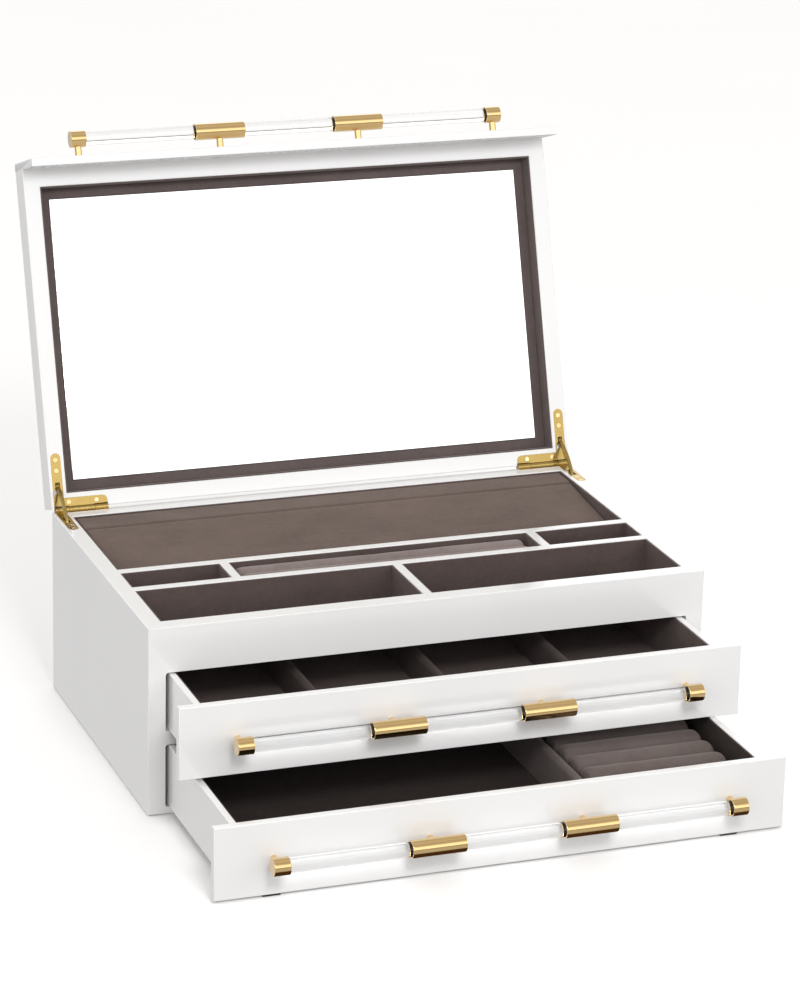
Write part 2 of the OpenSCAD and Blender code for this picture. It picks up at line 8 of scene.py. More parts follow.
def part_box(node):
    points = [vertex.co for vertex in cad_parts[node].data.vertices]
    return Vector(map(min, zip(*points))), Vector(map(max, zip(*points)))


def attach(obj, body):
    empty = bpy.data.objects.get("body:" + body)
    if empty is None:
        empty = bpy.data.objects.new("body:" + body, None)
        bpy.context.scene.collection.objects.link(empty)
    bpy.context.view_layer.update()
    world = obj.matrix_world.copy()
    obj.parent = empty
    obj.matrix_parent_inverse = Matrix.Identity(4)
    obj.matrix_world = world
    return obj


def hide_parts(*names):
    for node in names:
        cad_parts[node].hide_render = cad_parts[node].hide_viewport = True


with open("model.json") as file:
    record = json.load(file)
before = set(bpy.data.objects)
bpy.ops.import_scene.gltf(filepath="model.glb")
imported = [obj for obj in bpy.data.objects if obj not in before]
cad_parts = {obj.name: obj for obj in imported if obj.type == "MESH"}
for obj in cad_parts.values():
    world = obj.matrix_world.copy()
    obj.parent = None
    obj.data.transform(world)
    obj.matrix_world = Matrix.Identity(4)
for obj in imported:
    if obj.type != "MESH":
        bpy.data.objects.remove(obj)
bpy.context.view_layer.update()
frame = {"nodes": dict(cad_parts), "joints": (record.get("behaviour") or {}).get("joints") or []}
nodes = frame["nodes"]
MM = 0.001
scene = bpy.context.scene
FRONT_LEAST = 9 * MM  # the shortest edge that is rounded on the white shells and drawer parts
LINING_LEAST = 6 * MM  # the same on the linings
WELD = 0.002 * MM  # points closer than this are one point

# The lid's hinge axis and its angle at rest, as the frame gives them
lid_joint = [j for j in frame["joints"] if j["name"] == "lid_hinge"][0]
AXIS = Vector(lid_joint["pos_m"])
OPEN = math.radians(-lid_joint["range_deg"][0])


def about_hinge(angle):
    return Matrix.Translation(AXIS) @ Matrix.Rotation(angle, 4, "X") @ Matrix.Translation(-AXIS)


TO_OPEN = about_hinge(-OPEN)
TO_SHUT = about_hinge(OPEN)


# ---------------------------------------------------------------- materials

def material(name):
    m = bpy.data.materials.new(name)
    m.use_nodes = True
    nt = m.node_tree
    bsdf = nt.nodes["Principled BSDF"]
    return m, nt, bsdf


def node(nt, kind, **values):
    n = nt.nodes.new(kind)
    for k, v in values.items():
        if k in n.inputs:
            n.inputs[k].default_value = v
        else:
            setattr(n, k, v)
    return n


def noise_tex(nt, coord, scale, detail=2.0, rough=0.5, distort=0.0, stretch=None):
    """Noise of about 0 to 1, with scale in cells per metre, optionally stretched along the axes."""
    if stretch:
        mp = node(nt, "ShaderNodeMapping")
        mp.inputs["Scale"].default_value = stretch
        nt.links.new(coord, mp.inputs["Vector"])
        coord = mp.outputs["Vector"]
    n = node(nt, "ShaderNodeTexNoise", Scale=scale, Detail=detail, Roughness=rough,
             Distortion=distort)
    nt.links.new(coord, n.inputs["Vector"])
    return n.outputs["Fac"]


def ramp(nt, fac, low, high, a=0.0, b=1.0):
    """Takes low..high to a..b, and stops at the ends."""
    r = node(nt, "ShaderNodeMapRange")
    r.inputs["From Min"].default_value = low
    r.inputs["From Max"].default_value = high
    r.inputs["To Min"].default_value = a
    r.inputs["To Max"].default_value = b
    nt.links.new(fac, r.inputs["Value"])
    return r.outputs["Result"]


def math_node(nt, op, a, b):
    n = node(nt, "ShaderNodeMath", operation=op)
    for i, v in enumerate((a, b)):
        if isinstance(v, (int, float)):
            n.inputs[i].default_value = v
        else:
            nt.links.new(v, n.inputs[i])
    return n.outputs[0]


def mix(nt, fac, a, b):
    """Blends two colours, each a tuple or a socket."""
    n = node(nt, "ShaderNodeMix", data_type="RGBA")
    nt.links.new(fac, n.inputs["Factor"])
    for i, v in ((6, a), (7, b)):
        if isinstance(v, tuple):
            n.inputs[i].default_value = (*v, 1)
        else:
            nt.links.new(v, n.inputs[i])
    return n.outputs[2]


def bump(nt, bsdf, height, strength, distance):
    b = node(nt, "ShaderNodeBump", Strength=strength, Distance=distance)
    nt.links.new(height, b.inputs["Height"])
    nt.links.new(b.outputs["Normal"], bsdf.inputs["Normal"])


def lacquer(name, low, high, rough=0.2):
    """White lacquer: a faint colour drift, a very soft orange peel and a clear, glossy coat."""
    m, nt, bsdf = material(name)
    co = node(nt, "ShaderNodeTexCoord").outputs["Object"]
    drift = noise_tex(nt, co, 7, 2, 0.5)
    nt.links.new(mix(nt, ramp(nt, drift, 0.3, 0.7), low, high), bsdf.inputs["Base Color"])
    fine = noise_tex(nt, co, 420, 2, 0.5)
    nt.links.new(ramp(nt, fine, 0.3, 0.7, rough * 0.85, rough * 1.15), bsdf.inputs["Roughness"])
    bsdf.inputs["Coat Weight"].default_value = 0.6
    bsdf.inputs["Coat Roughness"].default_value = 0.04
    bsdf.inputs["IOR"].default_value = 1.5
    bump(nt, bsdf, noise_tex(nt, co, 55, 2, 0.5), 0.03, 0.0005)
    return m


def suede(name, dark, light, patch=0.5, sheen=0.25, nap=0.5):
    """Faux suede: broad brushed patches, finer mottling and a short fibrous nap."""
    m, nt, bsdf = material(name)
    co = node(nt, "ShaderNodeTexCoord").outputs["Object"]
    broad = ramp(nt, noise_tex(nt, co, 11, 3, 0.62, 0.8), 0.34, 0.68)
    strokes = ramp(nt, noise_tex(nt, co, 60, 3, 0.6, 0.4, (0.35, 1.0, 1.0)), 0.3, 0.7)
    mottle = ramp(nt, noise_tex(nt, co, 240, 3, 0.6), 0.3, 0.7)
    fibre = ramp(nt, noise_tex(nt, co, 2200, 3, 0.7), 0.25, 0.75)
    total = math_node(nt, "MULTIPLY", broad, patch * 0.55)
    total = math_node(nt, "ADD", total, math_node(nt, "MULTIPLY", strokes, patch * 0.3))
    total = math_node(nt, "ADD", total, math_node(nt, "MULTIPLY", mottle, 0.16))
    total = math_node(nt, "ADD", total, math_node(nt, "MULTIPLY", fibre, 0.22))
    nt.links.new(mix(nt, total, dark, light), bsdf.inputs["Base Color"])
    bsdf.inputs["Roughness"].default_value = 0.95
    bsdf.inputs["Specular IOR Level"].default_value = 0.15
    bsdf.inputs["Sheen Weight"].default_value = sheen
    bsdf.inputs["Sheen Roughness"].default_value = 0.45
    bsdf.inputs["Sheen Tint"].default_value = (0.62, 0.55, 0.52, 1)
    h = math_node(nt, "ADD", fibre, math_node(nt, "MULTIPLY", mottle, 1.2))
    bump(nt, bsdf, h, nap, 0.00016)
    return m


def brass(name, tone, rough=0.12, wear=0.3, coat=0.0):
    """Polished brass: warm, with a faint tarnish, fine turning marks and, where coated, a clear lacquer."""
    m, nt, bsdf = material(name)
    co = node(nt, "ShaderNodeTexCoord").outputs["Object"]
    stain = ramp(nt, noise_tex(nt, co, 130, 4, 0.6), 0.35, 0.75)
    deep = tuple(c * k for c, k in zip(tone, (0.86, 0.8, 0.66)))
    tarnished = mix(nt, math_node(nt, "MULTIPLY", stain, wear), tone, deep)
    nt.links.new(tarnished, bsdf.inputs["Base Color"])
    bsdf.inputs["Metallic"].default_value = 1.0
    bsdf.inputs["Coat Weight"].default_value = coat
    bsdf.inputs["Coat Roughness"].default_value = 0.05
    bsdf.inputs["Coat IOR"].default_value = 1.75
    fine = noise_tex(nt, co, 900, 2, 0.5, 0.0, (1.0, 0.08, 0.08))
    nt.links.new(ramp(nt, fine, 0.2, 0.8, rough * 0.7, rough * 1.5), bsdf.inputs["Roughness"])
    bump(nt, bsdf, fine, 0.06, 0.00005)
    return m


def acrylic(name):
    """Clear acrylic with the faintest haze."""
    m, nt, bsdf = material(name)
    co = node(nt, "ShaderNodeTexCoord").outputs["Object"]
    haze = noise_tex(nt, co, 160, 2, 0.5)
    nt.links.new(ramp(nt, haze, 0.3, 0.7, 0.01, 0.03), bsdf.inputs["Roughness"])
    nt.links.new(mix(nt, haze, (0.985, 0.99, 0.995), (1, 1, 1)), bsdf.inputs["Base Color"])
    bsdf.inputs["Transmission Weight"].default_value = 1.0
    bsdf.inputs["IOR"].default_value = 1.49
    return m


def mirror_glass(name):
    """A mirror, silvered and a little cool."""
    m, nt, bsdf = material(name)
    co = node(nt, "ShaderNodeTexCoord").outputs["Object"]
    haze = noise_tex(nt, co, 30, 2, 0.5)
    nt.links.new(mix(nt, haze, (0.975, 0.985, 0.985), (1.0, 1.0, 1.0)), bsdf.inputs["Base Color"])
    nt.links.new(ramp(nt, haze, 0.3, 0.7, 0.008, 0.02), bsdf.inputs["Roughness"])
    bsdf.inputs["Metallic"].default_value = 1.0
    return m


def plain(name, low, high, scale, rough, metallic=0.0, strength=0.2, distance=0.0002, stretch=None):
    """A simple two-tone surface, for parts that are hardly seen."""
    m, nt, bsdf = material(name)
    co = node(nt, "ShaderNodeTexCoord").outputs["Object"]
    n = noise_tex(nt, co, scale, 4, 0.6, 0.3, stretch)
    nt.links.new(mix(nt, ramp(nt, n, 0.3, 0.7), low, high), bsdf.inputs["Base Color"])
    bsdf.inputs["Roughness"].default_value = rough
    bsdf.inputs["Metallic"].default_value = metallic
    bump(nt, bsdf, n, strength, distance)
    return m


WHITE = lacquer("white_lacquer", (0.8, 0.796, 0.79), (0.825, 0.821, 0.815))
SUEDE_TOP = suede("suede_flap", (0.092, 0.067, 0.056), (0.182, 0.136, 0.116), 0.6, 0.22)
SUEDE_WALL = suede("suede_lining", (0.07, 0.051, 0.047), (0.14, 0.106, 0.098), 0.5, 0.22)
SUEDE_LID = suede("suede_lid", (0.09, 0.07, 0.067), (0.168, 0.135, 0.129), 0.4, 0.28)
# the lining suede darkened to about half: painted shade, standing in for the deep shadow inside the lower
# drawer
SUEDE_PAINTED_SHADE = suede("suede_painted_shade", (0.027, 0.02, 0.018), (0.06, 0.045, 0.041), 0.45, 0.12)
SUEDE_ROLL = suede("suede_rolls", (0.085, 0.066, 0.062), (0.17, 0.138, 0.128), 0.55, 0.35)
SUEDE_TRAY = suede("suede_tray_rolls", (0.14, 0.112, 0.105), (0.3, 0.25, 0.235), 0.55, 0.35)
# the lining suede darkened to about two thirds for the upper drawer's dividers: painted shade on their side
# faces
SUEDE_DIVIDERS_PAINTED_SHADE = suede("suede_dividers_painted_shade", (0.045, 0.034, 0.032), (0.092, 0.071, 0.066), 0.5, 0.15)
# a lighter suede laid on the linings' rounded top edges: a painted highlight along them
SUEDE_PAINTED_HIGHLIGHT = suede("suede_painted_highlight", (0.2, 0.172, 0.165), (0.34, 0.3, 0.285), 0.4, 0.4)
BRASS = brass("polished_brass", (0.76, 0.52, 0.2), 0.085, 0.25, 1.0)
BRASS_HINGE = brass("hinge_brass", (0.46, 0.33, 0.11), 0.24, 0.5)
ACRYLIC = acrylic("clear_acrylic")
MIRROR = mirror_glass("mirror_glass")
FELT = plain("black_felt", (0.012, 0.011, 0.011), (0.035, 0.032, 0.032), 1500, 0.95, 0, 0.6)
WOOD = plain("plain_wood", (0.36, 0.23, 0.12), (0.55, 0.38, 0.22), 40, 0.6, 0, 0.15, 0.0003,
             (1.0, 8.0, 8.0))
BOARD = plain("dark_board", (0.03, 0.025, 0.023), (0.055, 0.046, 0.042), 500, 0.85, 0, 0.3)
STEEL = plain("screw_steel", (0.5, 0.4, 0.22), (0.62, 0.5, 0.3), 900, 0.3, 1.0, 0.05)


# ---------------------------------------------------------------- mesh helpers

def link(name, mesh):
    o = bpy.data.objects.new(name, mesh)
    scene.collection.objects.link(o)
    return o


def cad_mesh(name, shut=False):
    """A welded copy of a CAD node's mesh, turned back to the closed lid's place if shut."""
    bm = bmesh.new()
    bm.from_mesh(nodes[name].data)
    bmesh.ops.remove_doubles(bm, verts=bm.verts, dist=WELD)
    if shut:
        bmesh.ops.transform(bm, matrix=TO_SHUT, verts=bm.verts)
    me = bpy.data.meshes.new(name + "_copy")
    bm.to_mesh(me)
    bm.free()
    return me


def apply_all(o):
    """Turns the object's modifiers into plain mesh."""
    bpy.context.view_layer.update()
    dg = bpy.context.evaluated_depsgraph_get()
    me = bpy.data.meshes.new_from_object(o.evaluated_get(dg))
    o.modifiers.clear()
    o.data = me
    return o


def union(name, names, shut=False, laps=()):
    """Joins CAD nodes. A lap (node, axis, sign) pushes that outermost face of the node a hair into its
    neighbour, so that two faces that only touch leave nothing doubled between them."""
    base = link(name, cad_mesh(names[0], shut))
    for n in names[1:]:
        other = link(name + "_tool", cad_mesh(n, shut))
        for who, axis, sign in laps:
            if who == n:
                far = max(sign * v.co[axis] for v in other.data.vertices)
                for v in other.data.vertices:
                    if sign * v.co[axis] > far - 0.01 * MM:
                        v.co[axis] += sign * 0.02 * MM
        mod = base.modifiers.new("u", "BOOLEAN")
        mod.operation = "UNION"
        mod.solver = "EXACT"
        mod.object = other
        apply_all(base)
        bpy.data.objects.remove(other)
    return base


def clear_corners(bm):
    """Slides the points that lie part way along a straight edge, close to its end, away from that corner,
    so that rounding the corner doesn't run over them."""
    bmesh.ops.remove_doubles(bm, verts=bm.verts, dist=0.03 * MM)
    bm.normal_update()
    for v in bm.verts:
        sharp = [e for e in v.link_edges if len(e.link_faces) == 2 and e.calc_face_angle(0) > 0.02]
        if len(sharp) != 2 or len(v.link_edges) < 3:
            continue
        near, far = sorted((e.other_vert(v).co - v.co for e in sharp), key=lambda d: d.length)
        straight = near.normalized().dot(far.normalized()) < -0.9999
        if straight and near.length < 2.5 * MM and far.length > 12 * MM:
            v.co += far.normalized() * 5 * MM


def round_edges(o, width, segments, least, test=lambda a, b: True, angle=50, finish=-1):
    """Rounds the sharp outward edges longer than least that pass the test, and leaves the rest crisp. The
    rounded edges take the material at the index finish, or their neighbour's if it is -1."""
    bm = bmesh.new()
    bm.from_mesh(o.data)
    bmesh.ops.remove_doubles(bm, verts=bm.verts, dist=WELD)
    bmesh.ops.dissolve_limit(bm, angle_limit=0.004, verts=bm.verts, edges=bm.edges)
    if least >= FRONT_LEAST:
        clear_corners(bm)
    bm.normal_update()
    picked = [
        e for e in bm.edges
        if len(e.link_faces) == 2 and e.is_convex and e.calc_face_angle(0) > math.radians(angle)
        and e.calc_length() > least and test(e.verts[0].co, e.verts[1].co)
    ]
    if picked:
        bmesh.ops.bevel(bm, geom=picked, offset=width, offset_type="OFFSET", segments=segments,
                        profile=0.5, affect="EDGES", clamp_overlap=False, material=finish)
    bmesh.ops.remove_doubles(bm, verts=bm.verts, dist=WELD)
    bm.to_mesh(o.data)
    bm.free()
    return o


def smooth(o, angle=38, weighted=True):
    """Shades smoothly across edges flatter than angle, with flat faces kept flat if weighted."""
    bm = bmesh.new()
    bm.from_mesh(o.data)
    bm.normal_update()
    for f in bm.faces:
        f.smooth = True
    for e in bm.edges:
        e.smooth = not (len(e.link_faces) != 2 or e.calc_face_angle(0) > math.radians(angle))
    bm.to_mesh(o.data)
    bm.free()
    if weighted:
        w = o.modifiers.new("normals", "WEIGHTED_NORMAL")
        w.keep_sharp = True
        w.weight = 90
        apply_all(o)
    return o


def dress(o, mat):
    """Gives the object its one material."""
    o.data.materials.clear()
    o.data.materials.append(mat)
    return o


def place(o, body, replaced=(), shut=False):
    """Rides the object on its body in place of the named CAD nodes, opened with the lid if made shut."""
    if shut:
        o.data.transform(TO_OPEN)
    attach(o, body)
    if replaced:
        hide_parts(*replaced)
    return o


def softened(name, body, mat, width, least, segments=3, shut=False, angle=50, edge=None):
    """A CAD node's shape with edges rounded by width in mm, standing for that node. The rounded edges may
    take a material of their own, edge; on the linings that is a lighter suede, a painted highlight."""
    o = union(name + "_finished", [name], shut)
    round_edges(o, width * MM, segments, least, angle=angle, finish=1 if edge else -1)
    smooth(o)
    dress(o, mat)
    if edge:
        o.data.materials.append(edge)
    return place(o, body, (name,), shut)


# ---------------------------------------------------------------- the white case and lid

def clear_of_hinges(a, b):
    """False for the edges of the shallow pockets cut for the hinges: those stay crisp."""
    pocket_from, pocket_to, pocket_front = 155 * MM, 199.5 * MM, 78 * MM
    mid = (a + b) / 2
    return not (pocket_from < abs(mid.x) < pocket_to and mid.y > pocket_front)


def case_shell():
    names = ["left_side_panel", "right_side_panel", "back_panel", "front_frame", "tray_dividers"]
    o = union("case_shell", names)
    round_edges(o, 0.55 * MM, 3, FRONT_LEAST, clear_of_hinges)
    smooth(o)
    dress(o, WHITE)
    return place(o, "case", names)


def lid_shell():
    names = ["lid_frame", "lid_panel", "lid_fascia"]
    o = union("lid_shell", names, True, (("lid_panel", 2, -1), ("lid_fascia", 1, 1)))
    round_edges(o, 0.6 * MM, 3, FRONT_LEAST, clear_of_hinges)
    smooth(o)
    dress(o, WHITE)
    return place(o, "lid", names, True)


case_shell()
lid_shell()
for which in ("upper", "lower"):
    body = which + "_drawer"
    softened(which + "_front", body, WHITE, 0.6, FRONT_LEAST)
    softened(which + "_box_walls", body, WHITE, 0.5, FRONT_LEAST)


# ---------------------------------------------------------------- suede linings and boards

def suede_piece(name, body, mat, width, least=LINING_LEAST, segments=3, shut=False, edge=None):
    softened(name, body, mat, width, least, segments, shut, edge=edge)


# the linings' rounded top edges take the lighter edge suede, a painted highlight
for n in ("lining_rear_well", "lining_middle_bins", "lining_front_bins"):
    suede_piece(n, "case", SUEDE_WALL, 0.45, edge=SUEDE_PAINTED_HIGHLIGHT)
suede_piece("upper_lining", "upper_drawer", SUEDE_WALL, 0.45, edge=SUEDE_PAINTED_HIGHLIGHT)
# the lower drawer's lining takes the darkened suede, painted shade of its deep interior
suede_piece("lower_lining", "lower_drawer", SUEDE_PAINTED_SHADE, 0.45, edge=SUEDE_PAINTED_HIGHLIGHT)
suede_piece("lid_lining", "lid", SUEDE_LID, 0.4, shut=True, edge=SUEDE_PAINTED_HIGHLIGHT)
suede_piece("mirror_border", "lid", SUEDE_LID, 0.5, shut=True)
suede_piece("flap_ledge", "case", SUEDE_TOP, 1.4, segments=4)
suede_piece("flap_rest", "case", SUEDE_WALL, 0.6, 5 * MM, 2)
# the upper drawer's dividers take the darkened suede, painted shade on their side faces
suede_piece("upper_dividers", "upper_drawer", SUEDE_DIVIDERS_PAINTED_SHADE, 0.6, 3 * MM, edge=SUEDE_PAINTED_HIGHLIGHT)
suede_piece("lower_divider", "lower_drawer", SUEDE_ROLL, 0.6, 3 * MM)
softened("lid_mirror", "lid", MIRROR, 0.8, LINING_LEAST, 2, shut=True)


# ---------------------------------------------------------------- padded pieces

def cloth_puff(o, cap, pinned):
    """Blows a closed shape up a little as stuffed fabric, with the pinned points held and each of the others
    kept within cap of where it began, and leaves the result in the mesh."""
    frames = 14
    rm = o.modifiers.new("remesh", "REMESH")
    rm.mode = "VOXEL"
    rm.voxel_size = 2.0 * MM
    apply_all(o)
    start = [v.co.copy() for v in o.data.vertices]
    g = o.vertex_groups.new(name="pin")
    g.add([v.index for v in o.data.vertices if pinned(v.co)], 1.0, "REPLACE")
    c = o.modifiers.new("cloth", "CLOTH")
    s = c.settings
    s.use_pressure = True
    s.uniform_pressure_force = 1.2
    s.effector_weights.gravity = 0
    s.quality = 6
    s.mass = 0.1
    s.tension_stiffness = 20
    s.compression_stiffness = 12
    s.shear_stiffness = 8
    s.bending_stiffness = 0.2
    s.vertex_group_mass = "pin"
    c.point_cache.frame_start = 1
    c.point_cache.frame_end = frames + 2
    for f in range(1, frames + 1):
        scene.frame_set(f)
    apply_all(o)
    scene.frame_set(1)
    for v, p in zip(o.data.vertices, start):
        d = v.co - p
        if d.length > cap:
            v.co = p + d.normalized() * cap
    return o


def roll_outline(width, height, valley):
    """A roll's section, as (y, z) points: an arc over the top that rises valley above straight sides."""
    arc_steps = 26
    r = ((width / 2) ** 2 + valley ** 2) / (2 * valley)
    half = math.asin(min(1, (width / 2) / r))
    side = height - valley
    outline = []
    for i in range(arc_steps + 1):
        t = -half + 2 * half * i / arc_steps
        outline.append((width / 2 + r * math.sin(t), height - r + r * math.cos(t)))
    outline += [(width, side * k) for k in (0.75, 0.5, 0.25, 0.0)]
    outline += [(width * k, 0.0) for k in (0.75, 0.5, 0.25)]
    outline += [(0.0, side * k) for k in (0.0, 0.25, 0.5, 0.75)]
    return outline


def roll_form(name, length, width, height, valley, seed, ending):
    """One stuffed roll along X, standing on z = 0 from y = 0: straight sides, a round top and soft ends,
    gathered over the length ending."""
    steps = 60
    side = height - valley
    cy, cz = width / 2, height * 0.45
    outline = roll_outline(width, height, valley)
    bm = bmesh.new()
    rings = []
    for i in range(steps + 1):
        u = i / steps
        x = length * (u - 0.5)
        end = min(u, 1 - u) * length / ending
        full = 1.0 if end >= 1 else math.sqrt(max(0.0, 1 - (1 - end) ** 2))
        ring = []
        for (y, z) in outline:
            yy = cy + (y - cy) * (0.86 + 0.14 * full) * 0.985
            zz = cz + (z - cz) * (0.93 + 0.07 * full) if z > cz else z
            p = Vector((x, yy, max(0.0, zz)))
            if z > side * 0.9:
                creases = noise.noise(Vector((x * 42 + seed * 7.3, yy * 60, seed))) * 0.28
                pulls = noise.noise(Vector((x * 16 + seed * 3.1, yy * 190, seed + 5))) * 0.22
                gathers = noise.noise(Vector((x * 150, yy * 30, seed + 9))) * 0.35 * (1 - min(1.0, end / 3.0))
                p.z += (creases + pulls + gathers) * MM * (0.55 + 0.45 * full)
            ring.append(bm.verts.new(p))
        rings.append(ring)
    m = len(outline)
    for a, b in zip(rings, rings[1:]):
        for j in range(m):
            bm.faces.new((a[j], a[(j + 1) % m], b[(j + 1) % m], b[j]))
    bm.faces.new(rings[0])
    bm.faces.new(list(reversed(rings[-1])))
    bmesh.ops.recalc_face_normals(bm, faces=bm.faces)
    me = bpy.data.meshes.new(name)
    bm.to_mesh(me)
    bm.free()
    return link(name, me)


def roll_row(name, body, cad, count, valley, cap, slack, ending, mat):
    """A row of stuffed rolls that fills a CAD node's box, each puffed by itself, then joined as one padded
    piece."""
    lo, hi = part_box(cad)
    width, height = (hi.y - lo.y) / count, hi.z - lo.z
    bm = bmesh.new()
    for i in range(count):
        o = roll_form(f"{name}_{i}", hi.x - lo.x - 2 * slack, width, height - slack * 0.5, valley, i + 1.0,
                      ending)
        cloth_puff(o, cap, lambda co: co.z < 0.3 * height)
        o.data.transform(Matrix.Translation(Vector(((lo.x + hi.x) / 2, lo.y + i * width, lo.z))))
        bm.from_mesh(o.data)
        bpy.data.objects.remove(o)
    for v in bm.verts:
        v.co.z = max(v.co.z, lo.z)
        v.co.x = min(max(v.co.x, lo.x), hi.x)
    me = bpy.data.meshes.new(name)
    bm.to_mesh(me)
    bm.free()
    o = link(name, me)
    relax = o.modifiers.new("smooth", "SMOOTH")
    relax.iterations = 3
    relax.factor = 0.5
    sub = o.modifiers.new("sub", "SUBSURF")
    sub.levels = 1
    sub.render_levels = 1
    apply_all(o)
    smooth(o, 80, False)
    dress(o, mat)
    place(o, body, (cad,))


lo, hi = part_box("lower_ring_rolls")
roll_pitch = 20.3 * MM
roll_row("lower_rolls_stuffed", "lower_drawer", "lower_ring_rolls", round((hi.y - lo.y) / roll_pitch),
         4.2 * MM, 0.9 * MM, 0.8 * MM, 3.2 * MM, SUEDE_ROLL)
roll_row("tray_rolls_stuffed", "case", "tray_ring_rolls", 2,
         3.4 * MM, 0.7 * MM, 0.3 * MM, 2.0 * MM, SUEDE_TRAY)


def padded_flap():
    """The flap: a thin board padded and wrapped in suede, crowned a little and rounded at its edges."""
    joint = [j for j in frame["joints"] if j["name"] == "flap_hinge"][0]
    hinge = Vector(joint["pos_m"])
    lo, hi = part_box("rear_flap")
    half = (hi.x - lo.x) / 2
    slope = math.radians(6.2)
    length = (hinge.y - lo.y) / math.cos(slope)
    thick = 3.6 * MM
    edge = 2.0 * MM
    across, along = 120, 40

    def inset(d):
        return 0.0 if d >= edge else edge - math.sqrt(max(0.0, edge ** 2 - (edge - d) ** 2))

    def spaced(n, total):
        pts = [edge * k for k in (0, 0.06, 0.2, 0.4, 0.65, 1.0)]
        inner = [edge + (total - 2 * edge) * i / n for i in range(1, n)]
        return pts + inner + [total - p for p in reversed(pts)]

    xs = spaced(across, 2 * half)
    ls = spaced(along, length)
    bm = bmesh.new()

    def layer(upper):
        grid = []
        for x in xs:
            col = []
            for l in ls:
                d = min(x, 2 * half - x, l, length - l)
                u = (x / (2 * half) - 0.5) * 2
                v = (l / length - 0.5) * 2
                if upper:
                    crown = -0.35 * MM * (1 - (1 - u ** 8) * (1 - v ** 4))
                    crown += 0.12 * MM * noise.noise(Vector((x * 22, l * 30, 2.0))) * min(1, d / (8 * MM))
                    depth = inset(d) - crown
                else:
                    depth = thick - inset(d)
                depth = min(max(depth, 0.0), thick)
                y = hinge.y - l * math.cos(slope) + depth * math.sin(slope)
                z = hinge.z - l * math.sin(slope) - depth * math.cos(slope)
                col.append(bm.verts.new((x - half, y, z)))
            grid.append(col)
        return grid

    def rim(grid):
        """The grid's outermost points, in order around it."""
        last, end = len(xs) - 1, len(ls) - 1
        ring = [grid[i][0] for i in range(last + 1)]
        ring += [grid[last][j] for j in range(1, end + 1)]
        ring += [grid[i][end] for i in range(last - 1, -1, -1)]
        ring += [grid[0][j] for j in range(end - 1, 0, -1)]
        return ring

    top, under = layer(True), layer(False)
    for grid in (top, under):
        for i in range(len(xs) - 1):
            for j in range(len(ls) - 1):
                f = (grid[i][j], grid[i + 1][j], grid[i + 1][j + 1], grid[i][j + 1])
                bm.faces.new(reversed(f) if grid is under else f)
    a, b = rim(top), rim(under)
    n = len(a)
    for i in range(n):
        bm.faces.new((a[i], b[i], b[(i + 1) % n], a[(i + 1) % n]))
    bmesh.ops.recalc_face_normals(bm, faces=bm.faces)
    me = bpy.data.meshes.new("rear_flap_padded")
    bm.to_mesh(me)
    bm.free()
    o = link("rear_flap_padded", me)
    smooth(o, 60, False)
    dress(o, SUEDE_TOP)
    place(o, "flap", ("rear_flap",))


padded_flap()


# ---------------------------------------------------------------- brass

def screw_head(turn):
    """A countersunk head, face up at z = 0, almost flat, with a cross recess."""
    radius, thick, slot_width, dome = 1.78 * MM, 1.3 * MM, 0.42 * MM, 0.05 * MM
    sides = 40

    def ring(r, z):
        turns = [2 * math.pi * i / sides for i in range(sides)]
        return [bm.verts.new((r * math.cos(a), r * math.sin(a), z)) for a in turns]

    bm = bmesh.new()
    centre = bm.verts.new((0, 0, dome))
    rings = [ring(radius * k, dome * h) for k, h in ((0.35, 0.9), (0.65, 0.62), (0.86, 0.25), (0.97, 0.0))]
    rings.append(ring(radius * 0.94, -thick))
    for i in range(sides):
        bm.faces.new((centre, rings[0][i], rings[0][(i + 1) % sides]))
    for a, b in zip(rings, rings[1:]):
        for i in range(sides):
            bm.faces.new((a[i], b[i], b[(i + 1) % sides], a[(i + 1) % sides]))
    bm.faces.new(list(reversed(rings[-1])))
    bmesh.ops.recalc_face_normals(bm, faces=bm.faces)
    me = bpy.data.meshes.new("head")
    bm.to_mesh(me)
    bm.free()
    head = link("head", me)
    for q in (0, 1):
        bm = bmesh.new()
        bmesh.ops.create_cube(bm, size=1.0)
        bmesh.ops.scale(bm, vec=(radius * 1.25, slot_width, 0.9 * MM), verts=bm.verts)
        across = Matrix.Rotation(turn + q * math.pi / 2, 3, "Z")
        bmesh.ops.rotate(bm, cent=(0, 0, 0), matrix=across, verts=bm.verts)
        bmesh.ops.translate(bm, vec=(0, 0, 0.12 * MM), verts=bm.verts)
        cm = bpy.data.meshes.new("cut")
        bm.to_mesh(cm)
        bm.free()
        cut = link("cut", cm)
        mod = head.modifiers.new("b", "BOOLEAN")
        mod.operation = "DIFFERENCE"
        mod.solver = "EXACT"
        mod.object = cut
        apply_all(head)
        bpy.data.objects.remove(cut)
    return head


def screw_shank():
    """A core that tapers to its tip, inside a thread of triangular section, below the head."""
    sides, turns, length, start = 16, 9, 7.2 * MM, -1.5 * MM
    bm = bmesh.new()

    def radius(u):
        return (1.0 - 0.65 * max(0.0, u - 0.6) / 0.4) * MM

    def point(r, i, z):
        a = 2 * math.pi * i / sides
        return bm.verts.new((r * math.cos(a), r * math.sin(a), z))

    thread = []
    for i in range(turns * sides + 1):
        u = i / (turns * sides)
        thread.append([point(radius(u) * k, i, start - u * length + h * MM)
                       for k, h in ((1.0, 0.0), (0.72, 0.2), (0.72, -0.2))])
    core = [[point(radius(u) * 0.76, i, start - u * length) for i in range(sides)]
            for u in (-0.05, 0.6, 1.04)]
    for stack in (thread, core):
        for a, b in zip(stack, stack[1:]):
            for i in range(len(a)):
                k = (i + 1) % len(a)
                bm.faces.new((a[i], a[k], b[k], b[i]))
        bm.faces.new(stack[0])
        bm.faces.new(list(reversed(stack[-1])))
    bmesh.ops.recalc_face_normals(bm, faces=bm.faces)
    me = bpy.data.meshes.new("shank")
    bm.to_mesh(me)
    bm.free()
    return me


